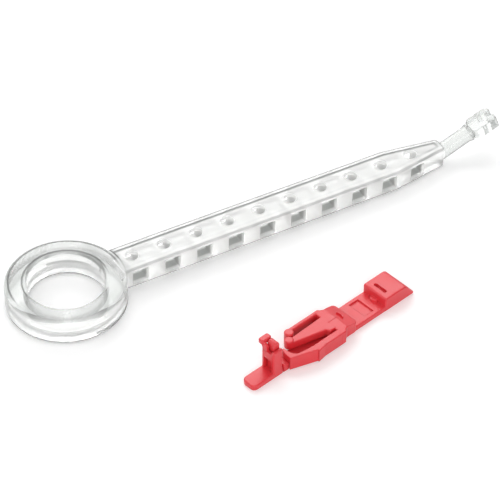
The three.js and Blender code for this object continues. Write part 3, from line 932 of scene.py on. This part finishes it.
def make_world():
    """An even fill, seen as a room that is bright overhead and darker towards the horizon."""
    world = bpy.data.worlds.new("World")
    bpy.context.scene.world = world
    world.use_nodes = True
    recipe = Recipe(world.node_tree)
    place = recipe.add("ShaderNodeTexCoord").outputs["Generated"]
    height = recipe.add("ShaderNodeSeparateXYZ", Vector=place).outputs["Z"]
    room = recipe.spread(height, ROOM_DARK_TO, ROOM_BRIGHT_FROM, ROOM_HORIZON, 1.0)
    path = recipe.add("ShaderNodeLightPath").outputs
    seen_in = recipe.maths("MAXIMUM", path["Is Glossy Ray"], path["Is Transmission Ray"])
    level = recipe.choose(path["Is Camera Ray"], recipe.choose(seen_in, WORLD_FILL, room), 1.0)
    recipe.fill(recipe.nodes["Background"], Color=(1, 1, 1, 1), Strength=level)


def make_floor(target):
    """A matt white table, lifted to the white of the background where the camera sees it."""
    bpy.ops.mesh.primitive_plane_add(size=FLOOR_SIZE * MM, location=(target.x, target.y, -FLOOR_DROP * MM))
    floor = bpy.context.object
    floor.name = "floor"
    material = bpy.data.materials.new("floor")
    material.use_nodes = True
    recipe = Recipe(material.node_tree)
    recipe.nodes.clear()
    path = recipe.add("ShaderNodeLightPath").outputs
    straight = recipe.maths("MAXIMUM", path["Is Camera Ray"], path["Is Glossy Ray"])
    lift = recipe.maths("MULTIPLY", straight, FLOOR_LIFT)
    level = recipe.maths("MULTIPLY_ADD", path["Is Transmission Ray"], FLOOR_SEEN_THROUGH, lift)
    matte = recipe.add("ShaderNodeBsdfDiffuse", Color=opaque((FLOOR_ALBEDO,) * 3))
    glow = recipe.add("ShaderNodeEmission", Strength=level)
    both = recipe.add("ShaderNodeAddShader")
    recipe.feed(both.inputs[0], matte.outputs[0])
    recipe.feed(both.inputs[1], glow.outputs[0])
    recipe.add("ShaderNodeOutputMaterial", Surface=both.outputs[0])
    floor.data.materials.append(material)


# Red plastic

RED = (0.7, 0.035, 0.046)
RED_DARKER_SHARE = 0.93
RED_LIGHTER_SHARE = 1.07
RED_ROUGHNESS = 0.4
RED_ROUGHNESS_RANGE = (0.28, 0.36)
CLOUD_SCALE = 260.0
CLOUD_RANGE = (0.3, 0.7)
GRAIN_SCALE = 2600.0
GRAIN_STRENGTH = 0.1
GRAIN_HEIGHT = 0.05
SOFT_EDGE = 0.2
SOFT_EDGE_SAMPLES = 6

# Clear soft plastic: colours, with its transmission and roughness at the ring and along the strap
CLEAR_RING = (0.64, 0.66, 0.645)
CLEAR_STRAP = (0.9, 0.905, 0.895)
CLEAR_RIM_SHADE = (0.12, 0.125, 0.12)
# Painted light: the white of the windows' insides and of the sides; painted shade: the grey deeper in the
# windows
CLEAR_PAINTED_LIGHT = (0.97, 0.975, 0.965)
FROST_PAINTED_SHADE = (0.35, 0.36, 0.35)
CLEAR_IOR = 1.41
RING_TRANSMISSION = 0.7
RING_ROUGHNESS = 0.12
STRAP_TRANSMISSION = 0.5
STRAP_ROUGHNESS = 0.2
CLEAR_ALPHA = 0.75
TAIL_ALPHA = 0.92
TAIL_CLEARS = 0.8
TAIL_CLEARS_FROM = STRAP_LENGTH - 3.0
TAIL_CLEARS_TO = STRAP_LENGTH + 1.0
# Painted light: the sides of the moulding, up to this depth in from the rim, are mixed towards white
SIDE_PAINTED_LIGHT = 0.9
SIDE_DEPTH = 0.35
CLEAR_GRAIN_SCALE = 0.9
CLEAR_GRAIN_DETAIL = 3.0
CLEAR_GRAIN_STRENGTH = 0.08
CLEAR_GRAIN_HEIGHT = 0.1

# Its painted shade lines at the rims, standing in for the dark refraction at the rounded edges: stops of
# (place, level), the place a share of the line's reach in from the rim
OUTER_RIM_SHADE = ((0.0, 0.95), (0.17, 0.85), (0.22, 0.0))
INNER_RIM_SHADE = ((0.42, 0.0), (0.5, 0.85), (0.64, 0.6), (0.74, 0.0))
RIM_REACH = 3.0
RING_RIM_REACH = 1.9
RIM_LINE_DEPTH = 0.5
RIM_FADE_HALF = 4.0
INNER_FULL_FROM = 0.8
INNER_NEAR_LEVEL = 0.1
OUTER_NEAR_LEVEL = 0.35
RIM_SHADE_ROUGHNESS = 0.5
# Painted shade outline on the tail, darker where its surface turns away from the view
TAIL_SHADE_FACING = (0.55, 0.95)
TAIL_SHADE_LEVEL = 0.7

# The painted shade line along the foot of its sides: stops of (place, level), the place a share of the
# height
SIDE_FOOT_SHADE = ((0.0, 0.7), (0.09, 0.6), (0.13, 0.0))
SIDE_LINE_DEPTH = 0.9

# Its matt inside in painted light, with painted shade in a band between two distances from the rim, weaker
# on the far side
FROST_ROUGHNESS = 0.5
FROST_TRANSMISSION = 0.15
FROST_SHADE_RAMP = (0.7, 1.5)
FROST_SHADE_CLEARS = (3.2, 3.7)
FROST_FAR_HALF = 0.5
FROST_FAR_SHADE_LEVEL = 0.3
FROST_ALPHA = (0.6, 0.95)


def principled(name, **values):
    """A new material with its recipe and its shader."""
    material = bpy.data.materials.new(name)
    material.use_nodes = True
    recipe = Recipe(material.node_tree)
    return material, recipe, recipe.fill(recipe.nodes["Principled BSDF"], **values)


def red_plastic():
    """A hard moulded plastic with softened edges, a fine grain and a slightly uneven red."""
    material, recipe, face = principled("red_plastic", Base_Color=opaque(RED), Roughness=RED_ROUGHNESS)
    place = recipe.add("ShaderNodeTexCoord").outputs["Object"]
    cloud = recipe.noise(place, CLOUD_SCALE)
    darker, lighter = (
        opaque([level * share for level in RED]) for share in (RED_DARKER_SHARE, RED_LIGHTER_SHARE)
    )
    soft = recipe.add("ShaderNodeBevel", Radius=SOFT_EDGE * MM)
    soft.samples = SOFT_EDGE_SAMPLES
    grain = recipe.noise(place, GRAIN_SCALE)
    recipe.fill(
        face,
        Base_Color=recipe.choose(cloud, darker, lighter, "RGBA"),
        Roughness=recipe.spread(cloud, *CLOUD_RANGE, *RED_ROUGHNESS_RANGE),
        Normal=recipe.relief(grain, GRAIN_STRENGTH, GRAIN_HEIGHT * MM, Normal=soft.outputs["Normal"]),
    )
    return material


def moulded_place(recipe):
    """Each point's place in the clear moulding, in its own millimetres: the vector, then its x, y and z."""
    moulded = recipe.add("ShaderNodeAttribute")
    moulded.attribute_name = "moulded"
    place = moulded.outputs["Vector"]
    return place, *recipe.add("ShaderNodeSeparateXYZ", Vector=place).outputs


def depth_inside(recipe, x, y):
    """How far a point lies inside its nearest rim, seen from above, and whether that rim is the ring's."""
    squares = recipe.maths("ADD", recipe.maths("MULTIPLY", x, x), recipe.maths("MULTIPLY", y, y))
    radius = recipe.maths("SQRT", squares)
    from_outside = recipe.maths("SUBTRACT", RING_OUTSIDE / 2, radius)
    from_ring = recipe.maths("MINIMUM", from_outside, recipe.maths("SUBTRACT", radius, RING_BORE / 2))
    taper = (STRAP_WIDTH - TAPER_END_WIDTH) / 2 / (STRAP_LENGTH - STRAP_CORNER - TAPER_START)
    past_taper = recipe.maths("MAXIMUM", recipe.maths("SUBTRACT", x, TAPER_START), 0.0)
    half = recipe.maths("SUBTRACT", STRAP_WIDTH / 2, recipe.maths("MULTIPLY", past_taper, taper))
    from_side = recipe.maths("SUBTRACT", half, recipe.maths("ABSOLUTE", y))
    from_strap = recipe.maths("MINIMUM", from_side, recipe.maths("SUBTRACT", STRAP_LENGTH, x))
    on_ring = recipe.maths("LESS_THAN", radius, RING_OUTSIDE / 2)
    return recipe.choose(on_ring, from_strap, from_ring), on_ring


def painted_rim_shade(recipe, x, y, z):
    """Painted shade: fine grey lines along every rim of the clear moulding, standing in for the dark
    refraction at its rounded edges, fainter on the near side.
    """
    inside, on_ring = depth_inside(recipe, x, y)
    from_rim = recipe.maths("DIVIDE", inside, recipe.choose(on_ring, RIM_REACH, RING_RIM_REACH))
    far = recipe.spread(y, -RIM_FADE_HALF, RIM_FADE_HALF)
    inner_level = recipe.spread(far, 0.0, INNER_FULL_FROM, INNER_NEAR_LEVEL, 1.0)
    inner = recipe.product(recipe.ramp(from_rim, INNER_RIM_SHADE), inner_level)
    outer_level = recipe.spread(far, 0.0, 1.0, OUTER_NEAR_LEVEL, 1.0)
    outer = recipe.product(recipe.ramp(from_rim, OUTER_RIM_SHADE), outer_level)
    near_top = recipe.maths("GREATER_THAN", z, -RIM_LINE_DEPTH)
    shade_lines = recipe.product(recipe.maths("ADD", outer, inner), near_top)
    # Painted shade line along the foot of the sides
    height = recipe.choose(on_ring, STRAP_DEPTH, RING_HEIGHT)
    from_under = recipe.maths("DIVIDE", recipe.maths("ADD", z, height), height)
    near_side = recipe.maths("LESS_THAN", inside, SIDE_LINE_DEPTH)
    side = recipe.product(recipe.ramp(from_under, SIDE_FOOT_SHADE), near_side)
    shade_lines = recipe.maths("MAXIMUM", shade_lines, side)
    return recipe.product(shade_lines, recipe.maths("LESS_THAN", x, STRAP_LENGTH))


def frosted_lit_elastomer():
    """The matt inside of the windows and holes, with painted light where light comes in and painted shade
    deeper down.
    """
    material, recipe, face = principled(
        "clear_elastomer_frosted_lit", Base_Color=opaque(CLEAR_PAINTED_LIGHT), Roughness=FROST_ROUGHNESS,
        Transmission_Weight=FROST_TRANSMISSION, IOR=CLEAR_IOR,
    )
    _, x, y, z = moulded_place(recipe)
    inside, _ = depth_inside(recipe, x, y)
    deep_shade = recipe.product(
        recipe.spread(inside, *FROST_SHADE_RAMP),
        recipe.spread(inside, *FROST_SHADE_CLEARS, 1.0, 0.0),
        recipe.spread(y, -FROST_FAR_HALF, FROST_FAR_HALF, 1.0, FROST_FAR_SHADE_LEVEL),
        recipe.maths("LESS_THAN", z, -STRAP_SKIN),
    )
    recipe.fill(
        face,
        Base_Color=recipe.choose(deep_shade, opaque(CLEAR_PAINTED_LIGHT), opaque(FROST_PAINTED_SHADE), "RGBA"),
        Alpha=recipe.spread(deep_shade, 0.0, 1.0, *FROST_ALPHA),
    )
    return material


def clear_elastomer():
    """A soft plastic, clearer at its ring and tail than along the strap, with painted shade lines at its
    rims and round the tail, and painted light on its sides.
    """
    material, recipe, face = principled(
        "clear_elastomer", Base_Color=opaque(CLEAR_STRAP), Roughness=STRAP_ROUGHNESS,
        Transmission_Weight=STRAP_TRANSMISSION, IOR=CLEAR_IOR,
    )
    place, x, y, z = moulded_place(recipe)
    inside, _ = depth_inside(recipe, x, y)
    on_tail = recipe.maths("GREATER_THAN", x, STRAP_LENGTH)
    # Painted light: its sides below the top edge are mixed towards white
    painted_lit_side = recipe.product(
        recipe.maths("LESS_THAN", inside, SIDE_DEPTH),
        recipe.maths("LESS_THAN", z, -STRAP_EDGE),
        recipe.maths("LESS_THAN", x, STRAP_LENGTH),
    )
    clearing = recipe.spread(x, TAIL_CLEARS_FROM, TAIL_CLEARS_TO, 0.0, TAIL_CLEARS)
    haze = recipe.maths("SUBTRACT", recipe.spread(x, RING_BORE / 2, FIRST_WINDOW), clearing)
    colour = recipe.choose(haze, opaque(CLEAR_RING), opaque(CLEAR_STRAP), "RGBA")
    grain = recipe.noise(place, CLEAR_GRAIN_SCALE, CLEAR_GRAIN_DETAIL)
    recipe.fill(
        face,
        Base_Color=recipe.choose(recipe.product(painted_lit_side, SIDE_PAINTED_LIGHT), colour, opaque(CLEAR_PAINTED_LIGHT), "RGBA"),
        Transmission_Weight=recipe.spread(haze, 0.0, 1.0, RING_TRANSMISSION, STRAP_TRANSMISSION),
        Roughness=recipe.spread(haze, 0.0, 1.0, RING_ROUGHNESS, STRAP_ROUGHNESS),
        Alpha=recipe.choose(on_tail, CLEAR_ALPHA, TAIL_ALPHA),
        Normal=recipe.relief(grain, CLEAR_GRAIN_STRENGTH, CLEAR_GRAIN_HEIGHT * MM),
    )
    # A dark shader, mixed in as painted shade along the rims and round the tail
    rim_shade = recipe.add(
        "ShaderNodeBsdfPrincipled",
        Base_Color=opaque(CLEAR_RIM_SHADE), Roughness=RIM_SHADE_ROUGHNESS, Specular_IOR_Level=0.0,
    )
    # Painted shade outline on the tail, mixed in by how far each face turns away from the view
    facing = recipe.add("ShaderNodeLayerWeight").outputs["Facing"]
    tail_shade_lines = recipe.product(recipe.spread(facing, *TAIL_SHADE_FACING, 0.0, TAIL_SHADE_LEVEL), on_tail)
    shade_lines = recipe.maths("ADD", painted_rim_shade(recipe, x, y, z), tail_shade_lines)
    mix = recipe.add("ShaderNodeMixShader", Fac=shade_lines)
    recipe.feed(mix.inputs[1], face.outputs[0])
    recipe.feed(mix.inputs[2], rim_shade.outputs[0])
    recipe.fill(recipe.nodes["Material Output"], Surface=mix.outputs[0])
    return material


target = make_camera()
make_world()
make_floor(target)
make_lights(target)
clear_strap(clear_elastomer(), frosted_lit_elastomer())
red_clip(red_plastic())

bpy.context.scene.view_settings.view_transform = "Standard"
